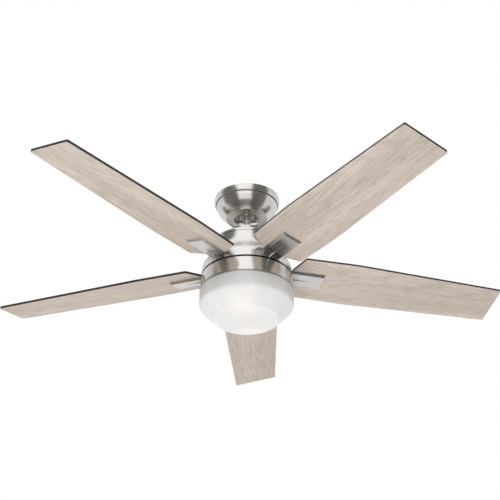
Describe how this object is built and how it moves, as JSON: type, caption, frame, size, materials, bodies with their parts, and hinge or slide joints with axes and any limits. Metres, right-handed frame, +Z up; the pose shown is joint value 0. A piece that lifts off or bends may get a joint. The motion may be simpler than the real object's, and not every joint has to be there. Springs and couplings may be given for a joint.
{
  "type": "ceiling fan",
  "caption": "Ceiling fan with pitched wooden blades on cast irons, a brushed nickel bell housing hung from a ball-jointed downrod, and a bevelled glass bowl light.",
  "frame": {"origin": "centre of the hanger bracket's top face, on the ceiling and on the fan's axis", "axes": "+Z up along the downrod; +X along the bracket, through its two mounting slots; the fan hangs below Z 0"},
  "size_m": [1.3337, 1.2846, 0.355],
  "materials": {
    "brushed_nickel": "satin brushed nickel plate under clear lacquer",
    "nickel_screw": "bright nickel-plated screw",
    "zinc_steel": "bright zinc-plated steel",
    "die_cast": "as die-cast",
    "cast_aluminium": "as cast",
    "lamination_steel": "varnished laminations",
    "copper_winding": "enamelled copper wire",
    "bearing_steel": "ground and polished",
    "nylon": "moulded natural nylon",
    "black_plastic": "moulded, fine grain",
    "wire_insulation": "extruded insulation",
    "white_enamel": "baked white enamel",
    "oak_veneer": "light grey-brown oak grain with dark edges",
    "washer_rubber": "soft moulded",
    "socket_ceramic": "unglazed porcelain",
    "lamp_base": "moulded white",
    "lamp_globe": "milky diffuser",
    "cased_glass": "satin opal glass"
  },
  "bodies": {
    "ceiling_mount": {"hanger_bracket": "zinc_steel", "canopy": "brushed_nickel", "canopy_screws": "nickel_screw", "canopy_trim_ring": "brushed_nickel", "remote_receiver": "black_plastic"},
    "liner": {"socket_liner": "nylon"},
    "hanging_fan": {"hanger_ball": "die_cast", "downrod": "brushed_nickel", "ball_pin": "zinc_steel", "ball_set_screw": "zinc_steel", "motor_coupling": "die_cast", "hitch_pin": "zinc_steel", "hitch_clip": "zinc_steel", "coupling_screws": "zinc_steel", "yoke_cover": "brushed_nickel", "top_cover": "brushed_nickel", "bell_housing": "brushed_nickel", "adapter_plate": "zinc_steel", "bell_screws": "zinc_steel", "motor_shaft": "zinc_steel", "stator_core": "lamination_steel", "stator_coils": "copper_winding", "bearing_inner_rings": "bearing_steel", "lead_wires": "wire_insulation", "switch_housing": "brushed_nickel", "mounting_plate": "zinc_steel", "housing_screws": "zinc_steel", "shaft_nut": "zinc_steel", "run_capacitor": "black_plastic", "fitter_posts": "zinc_steel", "fitter_pan": "white_enamel", "pan_screws": "zinc_steel", "lamp_socket_1": "socket_ceramic", "lamp_base_1": "lamp_base", "lamp_globe_1": "lamp_globe", "lamp_socket_2": "socket_ceramic", "lamp_base_2": "lamp_base", "lamp_globe_2": "lamp_globe"},
    "rotor": {"rotor_can_upper": "cast_aluminium", "rotor_can_lower": "cast_aluminium", "rotor_cage": "cast_aluminium", "can_screws": "zinc_steel", "bearing_outer_rings": "bearing_steel", "bearing_balls": "bearing_steel", "rotor_shell": "brushed_nickel", "blade_iron_1": "brushed_nickel", "blade_iron_2": "brushed_nickel", "blade_iron_3": "brushed_nickel", "blade_iron_4": "brushed_nickel", "blade_iron_5": "brushed_nickel", "blade_1": "oak_veneer", "blade_2": "oak_veneer", "blade_3": "oak_veneer", "blade_4": "oak_veneer", "blade_5": "oak_veneer", "blade_screws": "nickel_screw", "blade_washers": "washer_rubber", "iron_screws": "zinc_steel"},
    "glass": {"glass_collar": "brushed_nickel", "glass_bowl": "cased_glass"}
  },
  "joints": [
    {"name": "hang_tilt_x", "type": "hinge", "parent": "ceiling_mount", "child": "liner", "pos_m": [0, 0, -0.036], "axis": [1, 0, 0], "range_deg": [-10, 10]},
    {"name": "hang_tilt_y", "type": "hinge", "parent": "liner", "child": "hanging_fan", "pos_m": [0, 0, -0.036], "axis": [0, 1, 0], "range_deg": [-10, 10]},
    {"name": "blade_spin", "type": "hinge", "parent": "hanging_fan", "child": "rotor", "pos_m": [0, 0, -0.18], "axis": [0, 0, 1], "continuous": true},
    {"name": "glass_twist", "type": "hinge", "parent": "hanging_fan", "child": "glass", "pos_m": [0, 0, -0.275], "axis": [0, 0, 1], "range_deg": [0, 25]}
  ]
}
